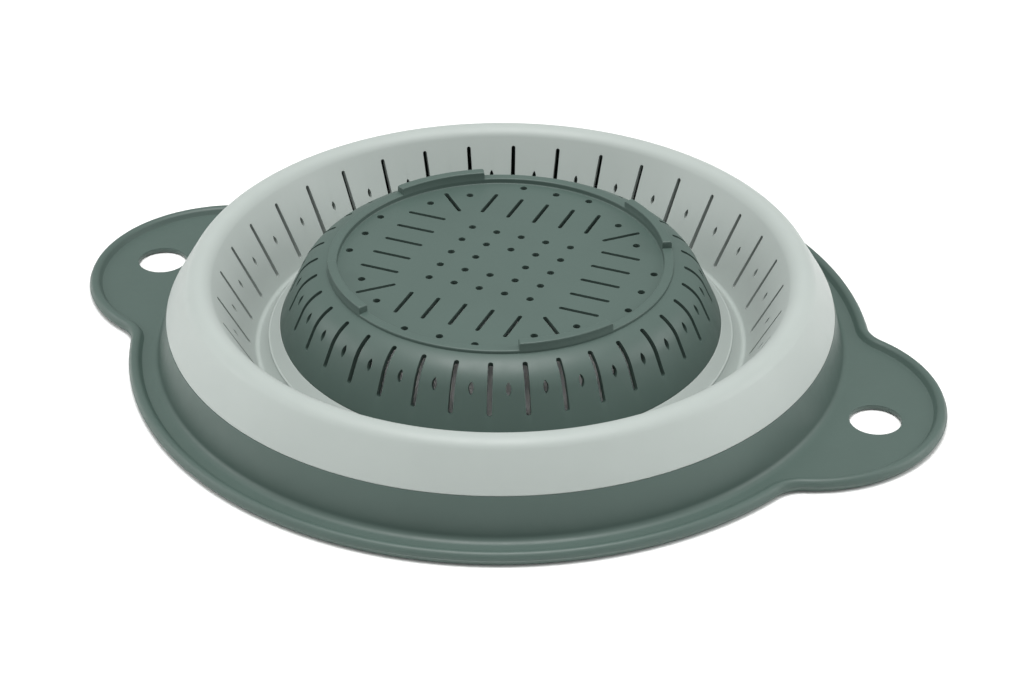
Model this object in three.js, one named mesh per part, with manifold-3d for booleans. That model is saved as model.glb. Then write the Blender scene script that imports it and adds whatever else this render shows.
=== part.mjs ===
// A folding colander, collapsed and standing upside down on its rim: a hard rim with two handles,
// a soft wall that folds, and a hard drain basket with a foot ring, pushed down through the rim.
// Millimetres. +Z is up, z = 0 is the table that the rim rests on, the axis of the bowl is Z, and
// the handles lie on X. A section point is a Vector2 of radius and height.
import * as THREE from "three";
import { mergeVertices } from "three/addons/utils/BufferGeometryUtils.js";
import Module from "manifold-3d";

const wasm = await Module();
wasm.setup();

// Rim and handles
const RIM_RADIUS = 125.5;
const BEAD_WIDTH = 4.2;
const BEAD_HEIGHT = 4.4;
const FLANGE_BOTTOM = 0.4;
const FLANGE_THICKNESS = 1.8;
const FLANGE_WIDTH = 9.55;
const FLANGE_LAP = 1.5;
const COVE_RADIUS = 2.5;
const RIM_WALL = 2;
const RIM_WALL_SLOPE = THREE.MathUtils.degToRad(75);
const RIM_JOINT_HEIGHT = 16.4;
const HANDLE_RADIUS = 47.5;
const HANDLE_OVERHANG = 28;
const HANDLE_FILLET = 12;
const HANG_HOLE_RADIUS = 8.4;
const HANG_HOLE_FROM_TIP = 22.2;

// Soft wall, folded into a crest and a valley
const SOFT_WALL = 1.8;
const CREST_HEIGHT = 30.6;
const CREST_RADIUS = 5.2;
const OUTER_BAND_SLOPE = THREE.MathUtils.degToRad(59);
const FOLD_BAND_SLOPE = THREE.MathUtils.degToRad(62.2);
const VALLEY_HEIGHT = 3;
const VALLEY_RADIUS = 1.2;
const INNER_BAND_SLOPE = THREE.MathUtils.degToRad(46);
const BASKET_JOINT_HEIGHT = 10.5;

// Drain basket
const BASKET_WALL = 2;
const BASKET_SLOPE = THREE.MathUtils.degToRad(65);
const PLATE_ABOVE_CREST = 0.6;
const PLATE_THICKNESS = 2;
const SHOULDER_RADIUS = 13.8;
const SHOULDER_RISE = 0.95;
const FOOT_RING_OFFSET = 2.2;
const FOOT_RING_WIDTH = 3.3;
const FOOT_RING_RISE = 1.9;
const FOOT_RISE = 2.5;
const FOOT_HALF_ANGLE = THREE.MathUtils.degToRad(16.2);
const FOOT_DRAFT = 0.2;

// Drain openings
const SLOTS_AROUND = 36;
const FOLD_SLOT_WIDTH = 1.4;
const FOLD_SLOT_TOP_LAND = 3.2;
const FOLD_SLOT_BOTTOM_LAND = 2.6;
const BASKET_SLOT_WIDTH = 1.65;
const BASKET_SLOT_TOP_LAND = 3.5;
const BASKET_SLOT_BOTTOM_LAND = 7.5;
const FOLD_OVAL_LENGTH = 3.7;
const FOLD_OVAL_WIDTH = 1.4;
const BASKET_OVAL_LENGTH = 4.4;
const BASKET_OVAL_WIDTH = 1.7;
const PLATE_HOLE_RADIUS = 1.25;
const GRID_PITCH = 9;
const GRID_REACH = 2;
const SLOT_ROW_PITCH = 9.6;
const SLOT_ROW_REACH = 2;
const SLOT_ROW_INSET = 18.95;
const PLATE_SLOT_LENGTH = 13.9;
const PLATE_SLOT_WIDTH = 1.4;
const EDGE_HOLE_INSET = 4.5;
const EDGE_HOLE_PITCH = 12.25;
const CORNER_SLOT_INSET = 10.3;
const CORNER_HOLE_INSET = 7.4;
const CORNER_HOLE_ANGLE = THREE.MathUtils.degToRad(9);
const HOLE_LAND = 2;

// Fits: the lap where hard and soft plastic are moulded together, and the gap left between solids
const LAP_LENGTH = 3;
const SEAM = 0.2;

// Facets of a full turn, and how far a cutter runs past what it cuts
const FACETS = 72;
const OVERCUT = 1;

const hardPlastic = new THREE.MeshStandardMaterial({
  color: 0x5b6d67,
  roughness: 0.45,
  metalness: 0,
});
const softPlastic = new THREE.MeshStandardMaterial({
  color: 0xc3c9c6,
  roughness: 0.6,
  metalness: 0,
});

const point = (radius, height) => new THREE.Vector2(radius, height);
const heading = (angle) => point(Math.cos(angle), Math.sin(angle));

function step(from, direction, distance) {
  return from.clone().addScaledVector(direction, distance);
}

function arc(centre, radius, from, to, steps) {
  const points = [];
  for (let i = 0; i <= steps; i++) {
    const angle = from + ((to - from) * i) / steps;
    points.push(step(centre, heading(angle), radius));
  }
  return points;
}

// Solids -------------------------------------------------------------------------------------

function solid(geometry) {
  geometry.deleteAttribute("normal");
  geometry.deleteAttribute("uv");
  const merged = mergeVertices(geometry, 1e-4);
  const mesh = new wasm.Mesh({
    numProp: 3,
    vertProperties: merged.attributes.position.array,
    triVerts: new Uint32Array(merged.index.array),
  });
  return new wasm.Manifold(mesh);
}

function turned(section) {
  const points = THREE.ShapeUtils.area(section) > 0 ? section : section.slice().reverse();
  const closed = [...points, points[0].clone()];
  const halfFacet = Math.PI / FACETS;
  const geometry = new THREE.LatheGeometry(closed, FACETS, halfFacet, 2 * Math.PI);
  return solid(geometry.rotateX(Math.PI / 2));
}

function prism(outline, bottom, top) {
  const options = { depth: top - bottom, bevelEnabled: false };
  const geometry = new THREE.ExtrudeGeometry(new THREE.Shape(outline), options);
  return solid(geometry.translate(0, 0, bottom));
}

function named(name, body, material) {
  const { vertProperties, triVerts } = body.getMesh();
  const geometry = new THREE.BufferGeometry();
  geometry.setAttribute("position", new THREE.BufferAttribute(vertProperties, 3));
  geometry.setIndex(new THREE.BufferAttribute(triVerts, 1));
  geometry.computeVertexNormals();
  const mesh = new THREE.Mesh(geometry, material);
  mesh.name = name;
  return mesh;
}

// The section through the wall, from the rim inwards --------------------------------------------

const flangeTop = FLANGE_BOTTOM + FLANGE_THICKNESS;
const rimCorner = point(RIM_RADIUS - FLANGE_WIDTH, flangeTop);
const rimWallUp = heading(Math.PI - RIM_WALL_SLOPE);
const rimWallIn = heading(1.5 * Math.PI - RIM_WALL_SLOPE);
const rimWallLength = (RIM_JOINT_HEIGHT - flangeTop) / Math.sin(RIM_WALL_SLOPE);
const rimJoint = step(rimCorner, rimWallUp, rimWallLength);

const outerUp = heading(Math.PI - OUTER_BAND_SLOPE);
const outerIn = heading(1.5 * Math.PI - OUTER_BAND_SLOPE);
const crestLevel = CREST_HEIGHT - CREST_RADIUS;
const outerRise = crestLevel - rimJoint.y + CREST_RADIUS * Math.cos(OUTER_BAND_SLOPE);
const outerEnd = step(rimJoint, outerUp, outerRise / Math.sin(OUTER_BAND_SLOPE));
const crest = step(outerEnd, outerIn, CREST_RADIUS);
const outerTangent = Math.PI / 2 - OUTER_BAND_SLOPE;
const foldTangent = Math.PI / 2 + FOLD_BAND_SLOPE;

const foldDown = heading(Math.PI + FOLD_BAND_SLOPE);
const foldOut = heading(foldTangent);
const foldStart = step(crest, foldOut, CREST_RADIUS);
const valleyLevel = VALLEY_HEIGHT + VALLEY_RADIUS;
const foldFall = foldStart.y + VALLEY_RADIUS * foldOut.y - valleyLevel;
const foldLength = foldFall / Math.sin(FOLD_BAND_SLOPE);
const valley = step(step(foldStart, foldDown, foldLength), foldOut, VALLEY_RADIUS);

const innerUp = heading(Math.PI - INNER_BAND_SLOPE);
const innerIn = heading(1.5 * Math.PI - INNER_BAND_SLOPE);
const innerStart = step(valley, innerIn, VALLEY_RADIUS);
const innerLength = (BASKET_JOINT_HEIGHT - innerStart.y) / Math.sin(INNER_BAND_SLOPE);
const basketJoint = step(innerStart, innerUp, innerLength);

const basketUp = heading(Math.PI - BASKET_SLOPE);
const basketIn = heading(1.5 * Math.PI - BASKET_SLOPE);
const plateTop = CREST_HEIGHT + PLATE_ABOVE_CREST;
const shoulderLevel = plateTop + SHOULDER_RISE - SHOULDER_RADIUS;
const basketRise = shoulderLevel - basketJoint.y + SHOULDER_RADIUS * Math.cos(BASKET_SLOPE);
const basketWallLength = basketRise / Math.sin(BASKET_SLOPE);
const shoulderStart = step(basketJoint, basketUp, basketWallLength);
const shoulder = step(shoulderStart, basketIn, SHOULDER_RADIUS);
const shoulderTangent = Math.PI / 2 - BASKET_SLOPE;

const footRingOuter = shoulder.x + FOOT_RING_OFFSET;
const footRingInner = footRingOuter - FOOT_RING_WIDTH;
const footRingAngle = Math.acos(FOOT_RING_OFFSET / SHOULDER_RADIUS);

// A lap joint: the hard piece's tongue lies under half the soft wall's thickness. up points from
// the hard piece into the soft one, and under points from the seen face to the hidden one.
function tongue(joint, up, under) {
  const halfWay = step(joint, under, SOFT_WALL / 2);
  const tip = step(halfWay, up, LAP_LENGTH);
  return [joint, halfWay, tip, step(tip, under, SOFT_WALL / 2)];
}

function socket(joint, up, under) {
  const edge = step(joint, up, SEAM);
  const lip = step(edge, under, SOFT_WALL / 2 - SEAM);
  const deep = step(lip, up, LAP_LENGTH);
  return [edge, lip, deep, step(deep, under, SOFT_WALL / 2 + SEAM)];
}

// Rim frame: bead, flange, two handles and the lowest part of the wall -----------------------------

function quarterOutline(inset) {
  const reach = RIM_RADIUS + HANDLE_OVERHANG - HANDLE_RADIUS;
  const toFillet = RIM_RADIUS + HANDLE_FILLET;
  const handleToFillet = HANDLE_RADIUS + HANDLE_FILLET;
  const filletX = (toFillet ** 2 - handleToFillet ** 2 + reach ** 2) / (2 * reach);
  const fillet = point(filletX, Math.sqrt(toFillet ** 2 - filletX ** 2));
  const handleTurn = Math.atan2(fillet.y, fillet.x - reach);
  const rimTurn = Math.atan2(fillet.y, fillet.x);
  const around = arc(point(reach, 0), HANDLE_RADIUS - inset, 0, handleTurn, 10);
  const corner = arc(fillet, HANDLE_FILLET + inset, Math.PI + handleTurn, Math.PI + rimTurn, 5);
  const rim = arc(point(0, 0), RIM_RADIUS - inset, rimTurn, Math.PI / 2, 14);
  return [...around, ...corner.slice(1), ...rim.slice(1)];
}

function mirrored(points, x, y) {
  const copy = points.slice(0, -1).reverse();
  return copy.map((each) => point(each.x * x, each.y * y));
}

function outline(inset) {
  const quarter = quarterOutline(inset);
  const half = [...quarter, ...mirrored(quarter, -1, 1)];
  return [...half, ...mirrored(half, 1, -1).slice(0, -1)];
}

function rimFrame() {
  const coveBack = COVE_RADIUS / Math.tan((Math.PI - RIM_WALL_SLOPE) / 2);
  const coveCentre = point(rimCorner.x + coveBack, flangeTop + COVE_RADIUS);
  const cove = arc(coveCentre, COVE_RADIUS, 1.5 * Math.PI, 1.5 * Math.PI - RIM_WALL_SLOPE, 2);
  const underJoint = step(rimJoint, rimWallIn, RIM_WALL);
  const mouth = step(step(rimCorner, rimWallIn, RIM_WALL), rimWallUp, -RIM_WALL / 4);
  const flangeEnd = coveCentre.x + FLANGE_LAP;
  const section = [
    point(flangeEnd, FLANGE_BOTTOM),
    point(flangeEnd, flangeTop),
    ...cove,
    ...tongue(rimJoint, outerUp, outerIn),
    step(underJoint, rimWallUp, -RIM_WALL),
    mouth,
    point(mouth.x + RIM_WALL / 2, FLANGE_BOTTOM),
  ];
  const plate = prism(outline(BEAD_WIDTH / 2), FLANGE_BOTTOM, flangeTop);
  const bowlRadius = coveCentre.x + FLANGE_LAP / 3;
  const bowl = arc(point(0, 0), bowlRadius, 0, 2 * Math.PI, FACETS).slice(1);
  const bowlCutter = prism(bowl, FLANGE_BOTTOM - OVERCUT, flangeTop + OVERCUT);
  const bead = prism(outline(0), 0, BEAD_HEIGHT);
  const beadCutter = prism(outline(BEAD_WIDTH), -OVERCUT, BEAD_HEIGHT + OVERCUT);
  let body = plate.subtract(bowlCutter).add(bead.subtract(beadCutter)).add(turned(section));
  const holeX = RIM_RADIUS + HANDLE_OVERHANG - HANG_HOLE_FROM_TIP;
  for (const side of [-1, 1]) {
    const hole = arc(point(side * holeX, 0), HANG_HOLE_RADIUS, 0, 2 * Math.PI, 24).slice(1);
    body = body.subtract(prism(hole, -OVERCUT, BEAD_HEIGHT + OVERCUT));
  }
  return body;
}

// Soft wall: three bands of one moulding, parted at the crest and at the valley, where it folds -----

function outerBand() {
  const top = Math.PI / 2;
  const seen = arc(crest, CREST_RADIUS, outerTangent, top, 3);
  const hidden = arc(crest, CREST_RADIUS - SOFT_WALL, top, outerTangent, 3);
  return turned([...socket(rimJoint, outerUp, outerIn).reverse(), ...seen, ...hidden]);
}

function foldBandBlank() {
  const crestTurn = Math.PI / 2 + SEAM / (CREST_RADIUS - SOFT_WALL);
  const valleyTurn = -Math.PI / 2 + SEAM / VALLEY_RADIUS;
  const valleyTangent = foldTangent - Math.PI;
  return turned([
    ...arc(crest, CREST_RADIUS, crestTurn, foldTangent, 3),
    ...arc(valley, VALLEY_RADIUS, valleyTangent, valleyTurn, 2),
    ...arc(valley, VALLEY_RADIUS + SOFT_WALL, valleyTurn, valleyTangent, 2),
    ...arc(crest, CREST_RADIUS - SOFT_WALL, foldTangent, crestTurn, 3),
  ]);
}

function innerBand() {
  const bottom = -Math.PI / 2;
  const tangent = -Math.PI / 2 - INNER_BAND_SLOPE;
  const seen = arc(valley, VALLEY_RADIUS, bottom, tangent, 2);
  const hidden = arc(valley, VALLEY_RADIUS + SOFT_WALL, tangent, bottom, 3);
  const down = innerUp.clone().negate();
  return turned([...seen, ...socket(basketJoint, down, innerIn), ...hidden]);
}

// Drain openings in the walls ------------------------------------------------------------------------

// A cutter through a wall at azimuth 0: outline's x runs along the wall, its y around the axis.
function wallCutter(outlinePoints, at, along, out, depth) {
  const options = { depth: depth + 2 * OVERCUT, bevelEnabled: false };
  const geometry = new THREE.ExtrudeGeometry(new THREE.Shape(outlinePoints), options);
  const place = new THREE.Matrix4().makeBasis(
    new THREE.Vector3(along.x, 0, along.y),
    new THREE.Vector3(0, 1, 0),
    new THREE.Vector3(out.x, 0, out.y),
  );
  place.setPosition(at.x, 0, at.y);
  return geometry.translate(0, 0, -depth - OVERCUT).applyMatrix4(place);
}

function slotOutline(length, width) {
  const end = length / 2;
  const side = width / 2;
  return [point(end, side), point(-end, side), point(-end, -side), point(end, -side)];
}

function ovalOutline(length, width) {
  const end = length / 2;
  const side = width / 2;
  return [point(end, 0), point(0, side), point(-end, 0), point(0, -side)];
}

// Cuts a copy of the cutter every pitch round the axis, the first of them at the given azimuth.
function cutAround(body, cutter, first) {
  const pitch = (2 * Math.PI) / SLOTS_AROUND;
  let cut = body;
  for (let i = 0; i < SLOTS_AROUND; i++) {
    cut = cut.subtract(solid(cutter.clone().rotateZ(first + i * pitch)));
  }
  return cut;
}

function foldBand() {
  const slotLength = foldLength - FOLD_SLOT_TOP_LAND - FOLD_SLOT_BOTTOM_LAND;
  const middle = step(foldStart, foldDown, FOLD_SLOT_TOP_LAND + slotLength / 2);
  const slot = slotOutline(slotLength, FOLD_SLOT_WIDTH);
  const along = foldDown.clone().negate();
  const slotCutter = wallCutter(slot, middle, along, foldOut, SOFT_WALL);
  const oval = ovalOutline(FOLD_OVAL_LENGTH, FOLD_OVAL_WIDTH);
  const ovalCutter = wallCutter(oval, middle, along, foldOut, SOFT_WALL);
  const slotted = cutAround(foldBandBlank(), slotCutter, 0);
  return cutAround(slotted, ovalCutter, Math.PI / SLOTS_AROUND);
}

// Drain basket ---------------------------------------------------------------------------------------

function basketBlank() {
  const underArc = SHOULDER_RADIUS - BASKET_WALL;
  const underRing = Math.acos(FOOT_RING_OFFSET / underArc);
  const ringTop = plateTop + FOOT_RING_RISE;
  const down = innerUp.clone().negate();
  const underWall = step(basketJoint, basketIn, BASKET_WALL);
  const plateBottom = plateTop - PLATE_THICKNESS;
  return turned([
    point(0, plateTop),
    point(footRingInner, plateTop),
    point(footRingInner, ringTop),
    point(footRingOuter, ringTop),
    ...arc(shoulder, SHOULDER_RADIUS, footRingAngle, shoulderTangent, 4),
    ...tongue(basketJoint, down, innerIn),
    step(underWall, basketUp, BASKET_WALL),
    ...arc(shoulder, underArc, shoulderTangent, underRing, 3),
    point(footRingInner - PLATE_THICKNESS / 2, plateBottom),
    point(0, plateBottom),
  ]);
}

function foot(azimuth) {
  const from = azimuth - FOOT_HALF_ANGLE;
  const to = azimuth + FOOT_HALF_ANGLE;
  const outer = arc(point(0, 0), footRingOuter - FOOT_DRAFT, from, to, 7);
  const inner = arc(point(0, 0), footRingInner + FOOT_DRAFT, to, from, 7);
  const ringTop = plateTop + FOOT_RING_RISE;
  return prism([...outer, ...inner], ringTop - FOOT_RING_RISE / 2, ringTop + FOOT_RISE);
}

// A slot that follows the wall up over the shoulder: a band in section, as thick as the slot is wide.
function basketSlot() {
  const topTurn = footRingAngle - BASKET_SLOT_TOP_LAND / SHOULDER_RADIUS;
  const start = step(basketJoint, basketUp, BASKET_SLOT_BOTTOM_LAND);
  const proud = SHOULDER_RADIUS + OVERCUT;
  const sunk = SHOULDER_RADIUS - BASKET_WALL - OVERCUT;
  const section = [
    step(start, basketIn, -OVERCUT),
    ...arc(shoulder, proud, shoulderTangent, topTurn, 2),
    ...arc(shoulder, sunk, topTurn, shoulderTangent, 2),
    step(start, basketIn, BASKET_WALL + OVERCUT),
  ];
  const options = { depth: BASKET_SLOT_WIDTH, bevelEnabled: false };
  const geometry = new THREE.ExtrudeGeometry(new THREE.Shape(section), options);
  return geometry.rotateX(Math.PI / 2).translate(0, BASKET_SLOT_WIDTH / 2, 0);
}

function plateCutter(outlinePoints, x, y, turn) {
  const options = { depth: PLATE_THICKNESS + 2 * OVERCUT, bevelEnabled: false };
  const geometry = new THREE.ExtrudeGeometry(new THREE.Shape(outlinePoints), options);
  const below = plateTop - PLATE_THICKNESS - OVERCUT;
  return solid(geometry.rotateZ(turn).translate(x, y, below));
}

function plateHole(x, y) {
  const half = Math.PI / 8;
  const circle = arc(point(0, 0), PLATE_HOLE_RADIUS, half, half + 2 * Math.PI, 8).slice(1);
  return plateCutter(circle, x, y, 0);
}

// A square grid of holes without its middle one, as far out as it stays clear of the slot rows.
function gridHoles() {
  const slotInnerEnd = footRingInner - SLOT_ROW_INSET - PLATE_SLOT_LENGTH / 2;
  const furthest = slotInnerEnd - PLATE_HOLE_RADIUS - HOLE_LAND;
  const cutters = [];
  for (let i = -GRID_REACH; i <= GRID_REACH; i++) {
    for (let j = -GRID_REACH; j <= GRID_REACH; j++) {
      const out = Math.max(Math.abs(i), Math.abs(j)) * GRID_PITCH;
      if (out > 0 && out <= furthest) {
        cutters.push(plateHole(i * GRID_PITCH, j * GRID_PITCH));
      }
    }
  }
  return cutters;
}

// On each side of the plate a row of slots and a row of edge holes, and a slot with two holes
// at each corner. A slot that would meet the next side's row is left out.
function sideCutters(turn) {
  const slotOut = footRingInner - SLOT_ROW_INSET;
  const furthest = slotOut - PLATE_SLOT_LENGTH / 2 - 2 * HOLE_LAND;
  const slot = slotOutline(PLATE_SLOT_LENGTH, PLATE_SLOT_WIDTH);
  const side = heading(turn);
  const across = heading(turn + Math.PI / 2);
  const cutters = [];
  for (let i = -SLOT_ROW_REACH; i <= SLOT_ROW_REACH; i++) {
    if (Math.abs(i) * SLOT_ROW_PITCH <= furthest) {
      const at = step(side.clone().multiplyScalar(slotOut), across, i * SLOT_ROW_PITCH);
      cutters.push(plateCutter(slot, at.x, at.y, turn));
    }
  }
  const edgeOut = footRingInner - EDGE_HOLE_INSET;
  for (const i of [-1, 0, 1]) {
    const at = step(side.clone().multiplyScalar(edgeOut), across, i * EDGE_HOLE_PITCH);
    cutters.push(plateHole(at.x, at.y));
  }
  const corner = turn + Math.PI / 4;
  const slotAt = heading(corner).multiplyScalar(footRingInner - CORNER_SLOT_INSET);
  cutters.push(plateCutter(slot, slotAt.x, slotAt.y, corner));
  for (const spread of [-CORNER_HOLE_ANGLE, CORNER_HOLE_ANGLE]) {
    const at = heading(corner + spread).multiplyScalar(footRingInner - CORNER_HOLE_INSET);
    cutters.push(plateHole(at.x, at.y));
  }
  return cutters;
}

function drainBasket() {
  let body = basketBlank();
  for (let i = 0; i < 4; i++) {
    body = body.add(foot((i + 0.5) * (Math.PI / 2)));
  }
  body = cutAround(body, basketSlot(), 0);
  const ovalTurn = shoulderTangent + BASKET_OVAL_LENGTH / 4 / SHOULDER_RADIUS;
  const ovalAt = step(shoulder, heading(ovalTurn), SHOULDER_RADIUS);
  const ovalAlong = heading(ovalTurn - Math.PI / 2);
  const ovalShape = ovalOutline(BASKET_OVAL_LENGTH, BASKET_OVAL_WIDTH);
  const oval = wallCutter(ovalShape, ovalAt, ovalAlong, heading(ovalTurn), BASKET_WALL);
  body = cutAround(body, oval, Math.PI / SLOTS_AROUND);
  const cutters = gridHoles();
  for (let i = 0; i < 4; i++) {
    cutters.push(...sideCutters(i * (Math.PI / 2)));
  }
  for (const cutter of cutters) {
    body = body.subtract(cutter);
  }
  return body;
}

const colander = new THREE.Group();
colander.add(
  named("rim_frame", rimFrame(), hardPlastic),
  named("soft_wall_outer_band", outerBand(), softPlastic),
  named("soft_wall_fold_band", foldBand(), softPlastic),
  named("soft_wall_inner_band", innerBand(), softPlastic),
  named("drain_basket", drainBasket(), hardPlastic),
);

export default colander;
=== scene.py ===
import math

import bmesh
import bpy
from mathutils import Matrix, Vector, kdtree


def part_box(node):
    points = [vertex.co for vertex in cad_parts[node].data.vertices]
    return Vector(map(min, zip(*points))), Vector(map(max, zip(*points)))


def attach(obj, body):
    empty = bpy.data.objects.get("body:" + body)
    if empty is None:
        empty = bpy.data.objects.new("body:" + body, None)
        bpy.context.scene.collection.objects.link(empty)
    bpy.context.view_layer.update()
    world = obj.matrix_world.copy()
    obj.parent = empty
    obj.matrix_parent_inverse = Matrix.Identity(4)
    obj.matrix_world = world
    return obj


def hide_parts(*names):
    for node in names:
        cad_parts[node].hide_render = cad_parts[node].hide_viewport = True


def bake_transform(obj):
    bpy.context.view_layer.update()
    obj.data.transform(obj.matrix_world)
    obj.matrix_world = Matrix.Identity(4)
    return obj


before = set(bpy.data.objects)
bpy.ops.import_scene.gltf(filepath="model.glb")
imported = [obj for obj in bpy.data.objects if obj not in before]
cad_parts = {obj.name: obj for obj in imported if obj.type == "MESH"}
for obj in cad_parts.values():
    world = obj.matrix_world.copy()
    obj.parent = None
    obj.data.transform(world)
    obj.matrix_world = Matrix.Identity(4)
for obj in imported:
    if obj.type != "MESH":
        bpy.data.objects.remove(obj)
bpy.ops.object.select_all(action="DESELECT")
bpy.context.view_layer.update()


# Camera ---------------------------------------------------------------------------------------
# A product camera a little above the table, in front and to the right of the colander's middle.
bpy.ops.object.camera_add(
    location=(0.2730, -0.6443, 0.4461),
    rotation=(math.radians(57.48), 0, math.radians(22.65)),
)
camera = bpy.context.object
camera.data.sensor_width = 36
camera.data.lens = 85.6
bpy.context.scene.camera = camera
bpy.context.scene.view_settings.view_transform = "Standard"


# Rim moulding ---------------------------------------------------------------------------------
# The rim, its two flat handles and the low outer wall are one injection moulding in grey-green
# polypropylene. A rounded bead runs round the edge, with a fine parting line on its outer side.
mm = 0.001
_, rim_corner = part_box("rim_frame")
rim_radius = rim_corner.y
handle_tip = rim_corner.x
handle_radius = 47.5 * mm
handle_fillet = 12 * mm
flange_bottom = 0.4 * mm
flange_top = 2.2 * mm
wall_foot = rim_radius - 9.55 * mm
cove_radius = 2.5 * mm
rim_wall = 2 * mm
rim_wall_slope = math.radians(75)
outer_slope = math.radians(59)
soft_wall = 1.8 * mm
lap_length = 3 * mm
hole_radius = 8.4 * mm
hole_place = handle_tip - 22.2 * mm
turn_steps = 360


def heading(angle):
    return Vector((math.cos(angle), math.sin(angle)))


def arc(centre, radius, start, end, steps):
    sweep = [start + (end - start) * i / steps for i in range(steps + 1)]
    return [centre + heading(angle) * radius for angle in sweep]


def outline(inset):
    """The rim's edge with its handles, seen from above, moved inwards by inset."""
    reach = handle_tip - handle_radius
    to_fillet = rim_radius + handle_fillet
    across = (to_fillet**2 - (handle_radius + handle_fillet) ** 2 + reach**2) / (2 * reach)
    fillet = Vector((across, math.sqrt(to_fillet**2 - across**2)))
    handle_turn = math.atan2(fillet.y, fillet.x - reach)
    rim_turn = math.atan2(fillet.y, fillet.x)
    end = arc(Vector((reach, 0)), handle_radius - inset, 0, handle_turn, 48)
    corner = arc(fillet, handle_fillet + inset, math.pi + handle_turn, math.pi + rim_turn, 16)
    rim = arc(Vector((0, 0)), rim_radius - inset, rim_turn, math.pi / 2, 70)
    quarter = end + corner[1:] + rim[1:]
    half = quarter + [Vector((-p.x, p.y)) for p in reversed(quarter[:-1])]
    return half + [Vector((p.x, -p.y)) for p in reversed(half[1:-1])]


def level(points, height):
    return [Vector((p.x, p.y, height)) for p in points]


def ring(radius, height, middle=0):
    turn = [2 * math.pi * i / turn_steps for i in range(turn_steps)]
    return [Vector((middle + radius * math.cos(a), radius * math.sin(a), height)) for a in turn]


def skin(name, loops):
    """A skin through closed loops: a circle is laid on the first and extruded to each next one."""
    bpy.ops.mesh.primitive_circle_add(vertices=len(loops[0]), fill_type="NOTHING")
    piece = bpy.context.object
    piece.name = piece.data.name = name
    for vertex, place in zip(piece.data.vertices, loops[0]):
        vertex.co = place
    bpy.ops.object.mode_set(mode="EDIT")
    bpy.ops.mesh.select_all(action="SELECT")
    for old, new in zip(loops, loops[1:]):
        nearest = kdtree.KDTree(len(old))
        for i, place in enumerate(old):
            nearest.insert(place, i)
        nearest.balance()
        bpy.ops.mesh.extrude_region_move()
        shell = bmesh.from_edit_mesh(piece.data)
        for vertex in [v for v in shell.verts if v.select]:
            vertex.co = new[nearest.find(vertex.co)[1]]
        bmesh.update_edit_mesh(piece.data)
    bpy.ops.object.mode_set(mode="OBJECT")
    return piece


def fill_at(piece, height):
    """Fills between the open edges that lie flat at this height."""
    bpy.ops.object.mode_set(mode="EDIT")
    bpy.ops.mesh.select_mode(type="EDGE")
    bpy.ops.mesh.select_all(action="DESELECT")
    shell = bmesh.from_edit_mesh(piece.data)
    for edge in shell.edges:
        flat = all(abs(v.co.z - height) < 1e-6 for v in edge.verts)
        edge.select_set(edge.is_boundary and flat)
    shell.select_flush_mode()
    bmesh.update_edit_mesh(piece.data)
    bpy.ops.mesh.fill(use_beauty=False)
    bpy.ops.mesh.select_mode(type="VERT")
    bpy.ops.object.mode_set(mode="OBJECT")


def close_up(piece, angle):
    """Merges doubled points, turns every face outwards and smooths all but the sharp edges."""
    bpy.ops.object.select_all(action="DESELECT")
    piece.select_set(True)
    bpy.context.view_layer.objects.active = piece
    bpy.ops.object.mode_set(mode="EDIT")
    bpy.ops.mesh.select_all(action="SELECT")
    bpy.ops.mesh.remove_doubles(threshold=1e-6)
    bpy.ops.mesh.normals_make_consistent(inside=False)
    bpy.ops.mesh.select_all(action="DESELECT")
    bpy.ops.object.mode_set(mode="OBJECT")
    bpy.ops.object.shade_smooth_by_angle(angle=math.radians(angle))


def joined(pieces):
    bpy.ops.object.select_all(action="DESELECT")
    for each in pieces:
        each.select_set(True)
    bpy.context.view_layer.objects.active = pieces[0]
    bpy.ops.object.join()
    bpy.ops.object.transform_apply(location=True, rotation=True)
    return pieces[0]


# Round the bead, from the flange's top over the crown and the parting line to its underside:
# how far in from the edge, and how high, in millimetres.
bead_section = [
    (5.2, 2.2), (4.75, 2.2), (4.45, 2.27), (4.25, 2.5), (3.6, 3.55), (3.45, 3.75), (3.2, 3.98),
    (2.8, 4.2), (2.3, 4.35), (1.9, 4.4), (1.5, 4.33), (1.1, 4.1), (0.75, 3.76), (0.45, 3.3),
    (0.24, 2.8), (0.13, 2.38), (0.1, 2.25), (0, 2.2), (0, 2.0), (0.12, 1.94), (0.2, 1.7),
    (0.45, 1.0), (0.85, 0.45), (1.3, 0.12), (1.8, 0), (3.6, 0), (4, 0.1), (4.2, 0.4), (5.2, 0.4),
]
bead_loops = [level(outline(inset * mm), height * mm) for inset, height in bead_section]

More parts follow.
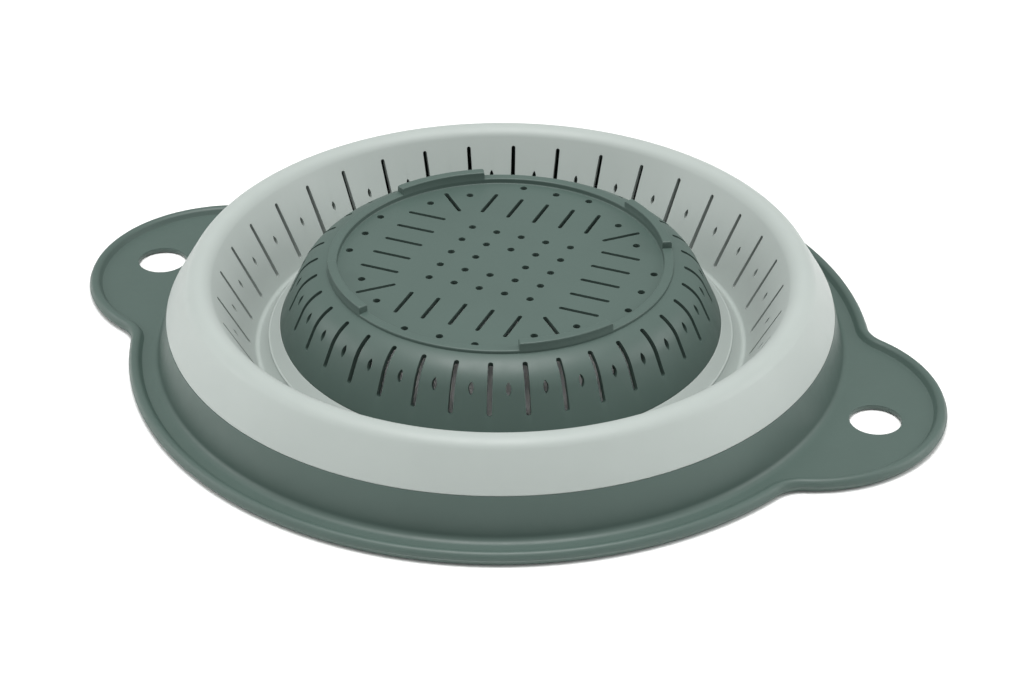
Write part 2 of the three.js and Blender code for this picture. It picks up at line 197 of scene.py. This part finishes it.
# The wall's section: out of the flange by a cove, up to the soft wall, and a tongue that lies
# under it, then down the hidden side.
corner = Vector((wall_foot, flange_top))
wall_up = heading(math.pi - rim_wall_slope)
wall_in = heading(1.5 * math.pi - rim_wall_slope)
rim_joint = corner + wall_up * ((16.4 * mm - flange_top) / math.sin(rim_wall_slope))
outer_up = heading(math.pi - outer_slope)
outer_in = heading(1.5 * math.pi - outer_slope)
cove_back = cove_radius / math.tan((math.pi - rim_wall_slope) / 2)
cove = corner + Vector((cove_back, cove_radius))
tongue = rim_joint + outer_in * (soft_wall / 2)
mouth = corner + wall_in * rim_wall - wall_up * (rim_wall / 4)
wall_section = [
    Vector((cove.x + 1 * mm, flange_top)),
    Vector((cove.x + 0.5 * mm, flange_top)),
    *arc(cove, cove_radius, 1.5 * math.pi, 1.5 * math.pi - rim_wall_slope, 10),
    rim_joint - wall_up * 0.25 * mm,
    rim_joint - wall_up * 0.08 * mm + wall_in * 0.03 * mm,
    rim_joint + outer_in * 0.15 * mm,
    tongue,
    tongue + outer_up * lap_length,
    tongue + outer_up * lap_length + outer_in * (soft_wall / 2),
    rim_joint + wall_in * rim_wall - wall_up * rim_wall,
    mouth,
    Vector((mouth.x + 1 * mm, flange_bottom)),
    Vector((cove.x + 1 * mm, flange_bottom)),
]
wall_loops = [ring(p.x, p.y) for p in wall_section]
hole_section = [
    (0.7, 2.2), (0.35, 2.2), (0.1, 2.13), (0, 1.95), (0, 0.65), (0.1, 0.47), (0.35, 0.4), (0.7, 0.4),
]
rim_parts = [skin("rim_moulding", bead_loops), skin("rim_wall", wall_loops)]
for side in (-1, 1):
    hole_loops = [
        ring(hole_radius + out * mm, height * mm, side * hole_place)[::6]
        for out, height in hole_section
    ]
    rim_parts.append(skin("hanging_hole", hole_loops))
rim_moulding = joined(rim_parts)
fill_at(rim_moulding, flange_top)
fill_at(rim_moulding, flange_bottom)
close_up(rim_moulding, 35)


def linear(hex_colour):
    """An sRGB hex colour as linear RGBA."""
    channels = [int(hex_colour[i : i + 2], 16) / 255 for i in (1, 3, 5)]
    lit = [c / 12.92 if c <= 0.04045 else ((c + 0.055) / 1.055) ** 2.4 for c in channels]
    return (*lit, 1)


def node(tree, kind, settings=None, links=None):
    """Adds a node: settings are its own options, links its sockets, each fed or given a value."""
    new = tree.nodes.new(kind)
    for name, value in (settings or {}).items():
        setattr(new, name, value)
    for name, value in (links or {}).items():
        if isinstance(value, bpy.types.NodeSocket):
            tree.links.new(value, new.inputs[name])
        else:
            new.inputs[name].default_value = value
    return new


def fresh_material(name):
    material = bpy.data.materials.new(name)
    material.use_nodes = True
    material.node_tree.nodes.clear()
    return material


# Polypropylene with a spark-eroded mould finish: an even satin grey green, a little
# glossier where the surface was rubbed, with a fine grain that spreads its highlights.
polypropylene = fresh_material("satin_moulded_polypropylene")
tree = polypropylene.node_tree
place = node(tree, "ShaderNodeTexCoord").outputs["Object"]
cloud = node(
    tree, "ShaderNodeTexNoise", links={"Vector": place, "Scale": 28, "Detail": 3, "Roughness": 0.6}
)
colour = node(
    tree,
    "ShaderNodeMix",
    {"data_type": "RGBA"},
    {"Factor": cloud.outputs["Fac"], 6: linear("#455650"), 7: linear("#4b5d57")},
)
rub = node(
    tree, "ShaderNodeTexNoise", links={"Vector": place, "Scale": 140, "Detail": 4, "Roughness": 0.65}
)
gloss = node(
    tree,
    "ShaderNodeMapRange",
    links={"Value": rub.outputs["Fac"], "From Min": 0.3, "From Max": 0.7, "To Min": 0.42, "To Max": 0.52},
)
# The real grain is about 0.05 mm. It is drawn at 0.3 mm so that it shows.
grain = node(
    tree, "ShaderNodeTexNoise", links={"Vector": place, "Scale": 3300, "Detail": 2, "Roughness": 0.5}
)
grain_bump = node(
    tree,
    "ShaderNodeBump",
    links={"Height": grain.outputs["Fac"], "Strength": 0.16, "Distance": 0.05 * mm},
)
ripple = node(
    tree, "ShaderNodeTexNoise", links={"Vector": place, "Scale": 60, "Detail": 1, "Roughness": 0.4}
)
ripple_bump = node(
    tree,
    "ShaderNodeBump",
    links={
        "Height": ripple.outputs["Fac"],
        "Strength": 0.4,
        "Distance": 0.08 * mm,
        "Normal": grain_bump.outputs["Normal"],
    },
)
shader = node(
    tree,
    "ShaderNodeBsdfPrincipled",
    links={
        "Base Color": colour.outputs[2],
        "Roughness": gloss.outputs["Result"],
        "Normal": ripple_bump.outputs["Normal"],
        "IOR": 1.49,
    },
)
node(tree, "ShaderNodeOutputMaterial", links={"Surface": shader.outputs["BSDF"]})

rim_moulding.data.materials.append(polypropylene)
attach(rim_moulding, "rim")
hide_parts("rim_frame")


# Soft wall, outer band ------------------------------------------------------------------------
# The soft wall is one moulding in pale thermoplastic elastomer, moulded onto the rim's tongue.
# This band leans inwards from the rim and rolls over at the crest, the upper fold line.
crest_height = 30.6 * mm
crest_radius = 5.2 * mm
crest_level = crest_height - crest_radius
outer_rise = crest_level - rim_joint.y + crest_radius * math.cos(outer_slope)
outer_end = rim_joint + outer_up * (outer_rise / math.sin(outer_slope))
crest = outer_end + outer_in * crest_radius
top = math.pi / 2
outer_tangent = top - outer_slope
fine = 0.02 / 5.2


def band(name, section):
    """A closed section turned once round the axis."""
    loops = [ring(p.x, p.y) for p in section]
    piece = skin(name, loops + [loops[0]])
    close_up(piece, 35)
    return piece


edge = rim_joint + outer_up * 0.04 * mm
socket = edge + outer_in * (soft_wall / 2 - 0.05 * mm)
outer_band_section = [
    edge + outer_in * 0.32 * mm,
    edge + outer_in * 0.12 * mm + outer_up * 0.06 * mm,
    edge + outer_in * 0.03 * mm + outer_up * 0.16 * mm,
    edge + outer_up * 0.34 * mm,
    *arc(crest, crest_radius, outer_tangent, top - fine, 20),
    crest + heading(top) * crest_radius,
    crest + heading(top) * (crest_radius - soft_wall),
    *arc(crest, crest_radius - soft_wall, top - fine, outer_tangent, 14),
    socket + outer_up * (lap_length + 0.1 * mm) + outer_in * (soft_wall / 2 + 0.05 * mm),
    socket + outer_up * (lap_length + 0.1 * mm),
    socket,
]
outer_band = band("soft_outer_band", outer_band_section)

# Thermoplastic elastomer: matt, a little rubbery, pale grey green, with a soft bloom at grazing
# angles and faint cloudy marks from the mould.
elastomer = fresh_material("matt_moulded_elastomer")
tree = elastomer.node_tree
place = node(tree, "ShaderNodeTexCoord").outputs["Object"]
cloud = node(
    tree, "ShaderNodeTexNoise", links={"Vector": place, "Scale": 22, "Detail": 4, "Roughness": 0.6}
)
colour = node(
    tree,
    "ShaderNodeMix",
    {"data_type": "RGBA"},
    {"Factor": cloud.outputs["Fac"], 6: linear("#9ea6a2"), 7: linear("#a6aeaa")},
)
rub = node(
    tree, "ShaderNodeTexNoise", links={"Vector": place, "Scale": 90, "Detail": 4, "Roughness": 0.6}
)
gloss = node(
    tree,
    "ShaderNodeMapRange",
    links={"Value": rub.outputs["Fac"], "From Min": 0.3, "From Max": 0.7, "To Min": 0.46, "To Max": 0.56},
)
# The real grain is about 0.03 mm. It is drawn at 0.25 mm so that it shows.
grain = node(
    tree, "ShaderNodeTexNoise", links={"Vector": place, "Scale": 4000, "Detail": 2, "Roughness": 0.5}
)
grain_bump = node(
    tree,
    "ShaderNodeBump",
    links={"Height": grain.outputs["Fac"], "Strength": 0.12, "Distance": 0.05 * mm},
)
shader = node(
    tree,
    "ShaderNodeBsdfPrincipled",
    links={
        "Base Color": colour.outputs[2],
        "Roughness": gloss.outputs["Result"],
        "Normal": grain_bump.outputs["Normal"],
        "IOR": 1.5,
        "Sheen Weight": 0.08,
        "Sheen Roughness": 0.5,
    },
)
node(tree, "ShaderNodeOutputMaterial", links={"Surface": shader.outputs["BSDF"]})

outer_band.data.materials.append(elastomer)
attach(outer_band, "rim")
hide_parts("soft_wall_outer_band")


# Soft wall, fold band -------------------------------------------------------------------------
# The same soft moulding from the crest down to the valley, the lower fold line. It turns inside
# out when the basket is pushed through. 36 slots and 36 small oval holes are cored out of it.
fold_slope = math.radians(62.2)
fold_tangent = top + fold_slope
fold_down = heading(math.pi + fold_slope)
fold_out = heading(fold_tangent)
fold_start = crest + fold_out * crest_radius
valley_height = 3 * mm
valley_radius = 1.2 * mm
valley_level = valley_height + valley_radius
fold_fall = fold_start.y + valley_radius * fold_out.y - valley_level
fold_length = fold_fall / math.sin(fold_slope)
valley = fold_start + fold_down * fold_length + fold_out * valley_radius
valley_tangent = fold_tangent - math.pi
slots_around = 36


def punch(name, outline_points, at, along, out, depth):
    """A cutter at azimuth 0: the outline, drawn along a wall and across it, pushed through."""
    bpy.ops.mesh.primitive_circle_add(vertices=len(outline_points), fill_type="NGON")
    cutter = bpy.context.object
    cutter.name = cutter.data.name = name
    along = Vector((along.x, 0, along.y))
    out = Vector((out.x, 0, out.y))
    proud = Vector((at.x, 0, at.y)) + out * mm
    for vertex, point in zip(cutter.data.vertices, outline_points):
        vertex.co = proud + along * point.x + Vector((0, point.y, 0))
    bpy.ops.object.mode_set(mode="EDIT")
    bpy.ops.mesh.select_all(action="SELECT")
    through = out * -(depth + 2 * mm)
    bpy.ops.mesh.extrude_region_move(TRANSFORM_OT_translate={"value": through})
    bpy.ops.mesh.select_all(action="SELECT")
    bpy.ops.mesh.normals_make_consistent(inside=False)
    bpy.ops.object.mode_set(mode="OBJECT")
    return cutter


def around(cutter, count, first):
    """Copies the cutter to count places round the axis and joins the copies."""
    copies = [cutter]
    for i in range(1, count):
        copy = cutter.copy()
        copy.data = cutter.data.copy()
        bpy.context.collection.objects.link(copy)
        copy.rotation_euler.z = i * 2 * math.pi / count
        copies.append(copy)
    whole = joined(copies)
    whole.rotation_euler.z = first
    bpy.ops.object.transform_apply(rotation=True)
    return whole


def boolean(piece, other, operation):
    modifier = piece.modifiers.new("cut", "BOOLEAN")
    modifier.operation = operation
    modifier.solver = "EXACT"
    modifier.object = other
    bpy.context.view_layer.objects.active = piece
    bpy.ops.object.modifier_apply(modifier=modifier.name)
    bpy.data.objects.remove(other)


def slot_outline(length, width, taper=1):
    """A slot with round ends; taper is how wide its upper end is against its lower one."""
    low = width / 2
    high = low * taper
    upper = arc(Vector((length / 2 - high, 0)), high, -top, top, 8)
    lower = arc(Vector((low - length / 2, 0)), low, top, 3 * top, 8)
    return upper + lower


def oval_outline(length, width):
    """Two shallow arcs that meet in points."""
    bow = (length**2 + width**2) / (4 * width)
    half = math.asin(length / 2 / bow)
    right = arc(Vector((0, bow - width / 2)), bow, -top - half, -top + half, 10)
    return right + [Vector((-p.x, -p.y)) for p in right[1:-1]]


fold_band_section = [
    crest + heading(top) * crest_radius,
    *arc(crest, crest_radius, top + fine, fold_tangent, 20),
    *arc(valley, valley_radius, valley_tangent, -top + 0.02, 8),
    valley + heading(-top) * valley_radius,
    valley + heading(-top) * (valley_radius + soft_wall),
    *arc(valley, valley_radius + soft_wall, -top + 0.02, valley_tangent, 8),
    *arc(crest, crest_radius - soft_wall, fold_tangent, top + fine, 14),
    crest + heading(top) * (crest_radius - soft_wall),
]
fold_band = band("soft_fold_band", fold_band_section)
slot_top = 3.2 * mm
slot_bottom = 2.6 * mm
slot_length = fold_length - slot_top - slot_bottom
slot_width = 1.65 * mm
slot_taper = 0.85
slot_middle = fold_start + fold_down * (slot_top + slot_length / 2)
fold_slots = punch(
    "fold_slots",
    slot_outline(slot_length, slot_width, slot_taper),
    slot_middle,
    -fold_down,
    fold_out,
    soft_wall,
)
fold_ovals = punch(
    "fold_ovals", oval_outline(3.7 * mm, 1.35 * mm), slot_middle, -fold_down, fold_out, soft_wall
)
boolean(fold_band, around(fold_slots, slots_around, 0), "DIFFERENCE")
boolean(fold_band, around(fold_ovals, slots_around, math.pi / slots_around), "DIFFERENCE")
close_up(fold_band, 35)
fold_band.data.materials.append(elastomer)
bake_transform(fold_band)
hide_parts("soft_wall_fold_band")


# Soft wall, inner band ------------------------------------------------------------------------
# The last of the soft moulding, from the valley up to the drain basket, whose tongue it wraps.
# A thin raised line runs round its middle.
inner_slope = math.radians(46)
inner_up = heading(math.pi - inner_slope)
inner_in = heading(1.5 * math.pi - inner_slope)
inner_start = valley + inner_in * valley_radius
basket_joint_height = 10.5 * mm
inner_length = (basket_joint_height - inner_start.y) / math.sin(inner_slope)
basket_joint = inner_start + inner_up * inner_length
edge = basket_joint - inner_up * 0.04 * mm
socket = edge + inner_in * (soft_wall / 2 - 0.05 * mm)
ridge_start = inner_start + inner_up * 3.9 * mm
ridge_step = 0.14 * mm
ridge_half_height = 0.15 * mm
ridge = [
    ridge_start
    + inner_up * i * ridge_step
    - inner_in * ridge_half_height * (1 - math.cos(i * math.pi / 4))
    for i in range(9)
]
inner_band_section = [
    valley + heading(-top) * valley_radius,
    valley + heading(-top - 0.02) * valley_radius,
    *arc(valley, valley_radius, -top - 0.2, -top - inner_slope, 5),
    *ridge,
    edge - inner_up * 0.34 * mm,
    edge - inner_up * 0.16 * mm + inner_in * 0.03 * mm,
    edge - inner_up * 0.06 * mm + inner_in * 0.12 * mm,
    edge + inner_in * 0.32 * mm,
    socket,
    socket - inner_up * (lap_length + 0.1 * mm),
    socket - inner_up * (lap_length + 0.1 * mm) + inner_in * (soft_wall / 2 + 0.05 * mm),
    *arc(valley, valley_radius + soft_wall, -top - inner_slope, -top - 0.01, 8),
    valley + heading(-top) * (valley_radius + soft_wall),
]
inner_band = band("soft_inner_band", inner_band_section)
inner_band.data.materials.append(elastomer)
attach(inner_band, "basket")
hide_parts("soft_wall_inner_band")


# Drain basket ---------------------------------------------------------------------------------
# The hard middle of the colander, in the rim's polypropylene: a short wall with a round shoulder
# and a flat plate inside a foot ring with four feet. Slots and holes are cored out of it.
_, basket_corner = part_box("drain_basket")
basket_wall = 2 * mm
basket_slope = math.radians(65)
plate_top = crest_height + 0.6 * mm
plate_bottom = plate_top - 2 * mm
shoulder_radius = 13.8 * mm
basket_up = heading(math.pi - basket_slope)
basket_in = heading(1.5 * math.pi - basket_slope)
shoulder_level = plate_top + 0.95 * mm - shoulder_radius
basket_rise = shoulder_level - basket_joint.y + shoulder_radius * math.cos(basket_slope)
shoulder_start = basket_joint + basket_up * (basket_rise / math.sin(basket_slope))
shoulder = shoulder_start + basket_in * shoulder_radius
shoulder_tangent = top - basket_slope
ring_outer = shoulder.x + 2.2 * mm
ring_inner = ring_outer - 3.3 * mm
ring_top = plate_top + 1.9 * mm
ring_angle = math.acos(2.2 * mm / shoulder_radius)
under_angle = math.acos(2.2 * mm / (shoulder_radius - basket_wall))
round_edge = 0.45 * mm
cored_radius = 2 * mm
tongue = basket_joint + inner_in * (soft_wall / 2)
tongue_tip = tongue - inner_up * lap_length

basket_section = [
    Vector((cored_radius, plate_top)),
    Vector((ring_inner - 1 * mm, plate_top)),
    Vector((ring_inner - 0.6 * mm, plate_top)),
    *arc(Vector((ring_inner - 0.4 * mm, plate_top + 0.4 * mm)), 0.4 * mm, -top, 0, 5),
    *arc(Vector((ring_inner + round_edge, ring_top - round_edge)), round_edge, math.pi, top, 5),
    *arc(Vector((ring_outer - round_edge, ring_top - round_edge)), round_edge, top, 0, 5),
    *arc(shoulder, shoulder_radius, ring_angle, shoulder_tangent, 30),
    basket_joint + basket_up * 0.3 * mm,
    basket_joint + basket_up * 0.08 * mm + basket_in * 0.04 * mm,
    basket_joint + inner_in * 0.15 * mm,
    tongue,
    tongue_tip,
    tongue_tip + inner_in * (soft_wall / 2),
    basket_joint + basket_in * basket_wall + basket_up * basket_wall,
    *arc(shoulder, shoulder_radius - basket_wall, shoulder_tangent, under_angle, 16),
    Vector((ring_inner - 1 * mm, plate_bottom)),
    Vector((cored_radius, plate_bottom)),
]
drain_basket = skin("drain_basket_moulding", [ring(p.x, p.y) for p in basket_section])
fill_at(drain_basket, plate_top)
fill_at(drain_basket, plate_bottom)
close_up(drain_basket, 35)

# One foot: an upright rounded block bent along the ring, flush with its sides, with rounded ends.
foot_top = basket_corner.z
foot_half = math.radians(16.2)
foot_middle = (ring_outer + ring_inner) / 2
foot_width = (ring_outer - ring_inner) / 2


foot_end = 0.6 * mm


def foot_loop(azimuth, drop):
    """The foot's section at an azimuth: a block with a rounded top, made lower by drop."""
    side = foot_width - 0.06 * mm
    low = ring_top - 0.9 * mm
    high = foot_top - drop
    soft = 0.45 * mm
    section = [
        Vector((side, low)),
        *arc(Vector((side - soft, high - soft)), soft, 0, top, 5),
        *arc(Vector((soft - side, high - soft)), soft, top, math.pi, 5),
        Vector((-side, low)),
    ]
    out = heading(azimuth)
    return [Vector((*(out * (foot_middle + p.x)), p.y)) for p in section]


turns = [math.radians(15 * i) for i in range(7)]
rounded = [
    (foot_end * (1 - math.cos(turn)) / foot_middle, foot_end * (1 - math.sin(turn)))
    for turn in turns
]
foot_loops = [foot_loop(along - foot_half, drop) for along, drop in rounded]
foot_loops += [foot_loop(math.radians(degrees), 0) for degrees in range(-15, 16, 3)]
foot_loops += [foot_loop(foot_half - along, drop) for along, drop in reversed(rounded)]
foot = skin("foot", foot_loops)
bpy.ops.object.mode_set(mode="EDIT")
bpy.ops.mesh.select_all(action="DESELECT")
bpy.ops.mesh.select_non_manifold()
bpy.ops.mesh.edge_face_add()
bpy.ops.object.mode_set(mode="OBJECT")
close_up(foot, 35)
boolean(drain_basket, around(foot, 4, math.radians(45)), "UNION")


shoulder_slot_low = 7.5 * mm
shoulder_slot_high = 3.5 * mm


def shoulder_slot(width):
    """A cutter that follows the wall up over the shoulder, with round ends."""
    start = basket_joint + basket_up * shoulder_slot_low
    top_turn = ring_angle - shoulder_slot_high / shoulder_radius
    outer = arc(shoulder, shoulder_radius + mm, shoulder_tangent, top_turn, 12)
    inner = arc(shoulder, shoulder_radius - basket_wall - mm, top_turn, shoulder_tangent, 12)
    ends = (start - basket_in * mm, start + basket_in * (basket_wall + mm))
    section = [ends[0], *outer, *inner, ends[1]]
    bpy.ops.mesh.primitive_circle_add(vertices=len(section), fill_type="NGON")
    cutter = bpy.context.object
    for vertex, point in zip(cutter.data.vertices, section):
        vertex.co = (point.x, -width / 2, point.y)
    bpy.ops.object.mode_set(mode="EDIT")
    bpy.ops.mesh.select_all(action="SELECT")
    bpy.ops.mesh.extrude_region_move(TRANSFORM_OT_translate={"value": (0, width, 0)})
    shell = bmesh.from_edit_mesh(cutter.data)
    bpy.ops.mesh.select_mode(type="EDGE")
    bpy.ops.mesh.select_all(action="DESELECT")
    pairs = (ends, (outer[-1], inner[0]))
    for edge in shell.edges:
        a, b = [Vector((v.co.x, v.co.z)) for v in edge.verts]
        near = [
            (a - p).length + (b - q).length < 1e-6 or (a - q).length + (b - p).length < 1e-6
            for p, q in pairs
        ]
        edge.select_set(any(near))
    shell.select_flush_mode()
    bmesh.update_edit_mesh(cutter.data)
    bpy.ops.mesh.bevel(offset=width * 0.48, segments=6, affect="EDGES")
    bpy.ops.mesh.select_mode(type="VERT")
    bpy.ops.mesh.select_all(action="SELECT")
    bpy.ops.mesh.normals_make_consistent(inside=False)
    bpy.ops.object.mode_set(mode="OBJECT")
    return cutter


boolean(drain_basket, around(shoulder_slot(1.65 * mm), slots_around, 0), "DIFFERENCE")
oval_turn = shoulder_tangent + 1.1 * mm / shoulder_radius
oval_at = shoulder + heading(oval_turn) * shoulder_radius
basket_oval = punch(
    "basket_ovals",
    oval_outline(4.4 * mm, 1.7 * mm),
    oval_at,
    heading(oval_turn + top),
    heading(oval_turn),
    basket_wall,
)
boolean(drain_basket, around(basket_oval, slots_around, math.pi / slots_around), "DIFFERENCE")

# The plate's openings: a square grid of holes, and for each side a row of slots, three edge
# holes and a corner slot between two holes.
flat_along = Vector((1, 0))
flat_up = Vector((0, 1))
plate_thickness = plate_top - plate_bottom
hole_outline = arc(Vector((0, 0)), 1.25 * mm, 0, 2 * math.pi, 20)[:-1]
plate_slot_outline = slot_outline(13.9 * mm, 1.4 * mm)


def plate_punch(name, outline_points):
    return punch(name, outline_points, Vector((0, plate_top)), flat_along, flat_up, plate_thickness)


def placed(cutter, at, turn=0):
    """A copy of the cutter, turned and set at a place on the plate."""
    copy = cutter.copy()
    copy.data = cutter.data.copy()
    bpy.context.collection.objects.link(copy)
    copy.location = (at.x, at.y, 0)
    copy.rotation_euler.z = turn
    return copy


plate_hole = plate_punch("plate_hole", hole_outline)
plate_slot = plate_punch("plate_slot", plate_slot_outline)
grid_pitch = 9 * mm
slot_row_pitch = 9.6 * mm
slot_row_at = ring_inner - 18.95 * mm
edge_hole_pitch = 12.25 * mm
edge_hole_at = ring_inner - 4.5 * mm
grid = []
for i in range(-2, 3):
    for j in range(-2, 3):
        if (i, j) != (0, 0):
            grid.append(placed(plate_hole, Vector((i * grid_pitch, j * grid_pitch))))
boolean(drain_basket, joined(grid), "DIFFERENCE")
side = []
for i in range(-2, 3):
    side.append(placed(plate_slot, Vector((slot_row_at, i * slot_row_pitch))))
for i in range(-1, 2):
    side.append(placed(plate_hole, Vector((edge_hole_at, i * edge_hole_pitch))))
diagonal = math.radians(45)
corner_slot_at = heading(diagonal) * (ring_inner - 10.3 * mm)
side.append(placed(plate_slot, corner_slot_at, diagonal))
for spread in (-9, 9):
    corner_hole_at = heading(diagonal + math.radians(spread)) * (ring_inner - 7.4 * mm)
    side.append(placed(plate_hole, corner_hole_at))
boolean(drain_basket, around(joined(side), 4, 0), "DIFFERENCE")
bpy.data.objects.remove(plate_hole)
bpy.data.objects.remove(plate_slot)
close_up(drain_basket, 35)
drain_basket.data.materials.append(polypropylene)
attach(drain_basket, "basket")
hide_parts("drain_basket")


# Table and light ------------------------------------------------------------------------------
# A plain white table under one broad soft light, with a weaker fill from each side.
bpy.ops.mesh.primitive_plane_add(size=8)
table = bpy.context.object
table.name = table.data.name = "table"
paint = fresh_material("white_matt_table")
tree = paint.node_tree
place = node(tree, "ShaderNodeTexCoord").outputs["Object"]
mottle = node(tree, "ShaderNodeTexNoise", links={"Vector": place, "Scale": 6, "Detail": 3})
colour = node(
    tree,
    "ShaderNodeMix",
    {"data_type": "RGBA"},
    {"Factor": mottle.outputs["Fac"], 6: linear("#f7f7f6"), 7: linear("#fbfbfa")},
)
shader = node(
    tree,
    "ShaderNodeBsdfPrincipled",
    links={"Base Color": colour.outputs[2], "Roughness": 0.9, "Specular IOR Level": 0.2},
)
node(tree, "ShaderNodeOutputMaterial", links={"Surface": shader.outputs["BSDF"]})
table.data.materials.append(paint)

world = bpy.data.worlds.new("studio")
world.use_nodes = True
world.node_tree.nodes["Background"].inputs["Color"].default_value = (1, 1, 1, 1)
world.node_tree.nodes["Background"].inputs["Strength"].default_value = 0.46
bpy.context.scene.world = world


def soft_light(name, place, target, size, power):
    bpy.ops.object.light_add(type="AREA", location=place)
    light = bpy.context.object
    light.name = light.data.name = name
    light.data.shape = "DISK"
    light.data.size = size
    light.data.energy = power
    aim = Vector(target) - Vector(place)
    light.rotation_euler = aim.to_track_quat("-Z", "Y").to_euler()


soft_light("overhead", (0.0, -0.1, 1.7), (0, 0, 0), 1.1, 27)
soft_light("left_fill", (-1.5, -0.5, 0.7), (0, 0, 0), 1.0, 8)
soft_light("right_fill", (1.4, 0.6, 0.7), (0, 0, 0), 1.0, 9)
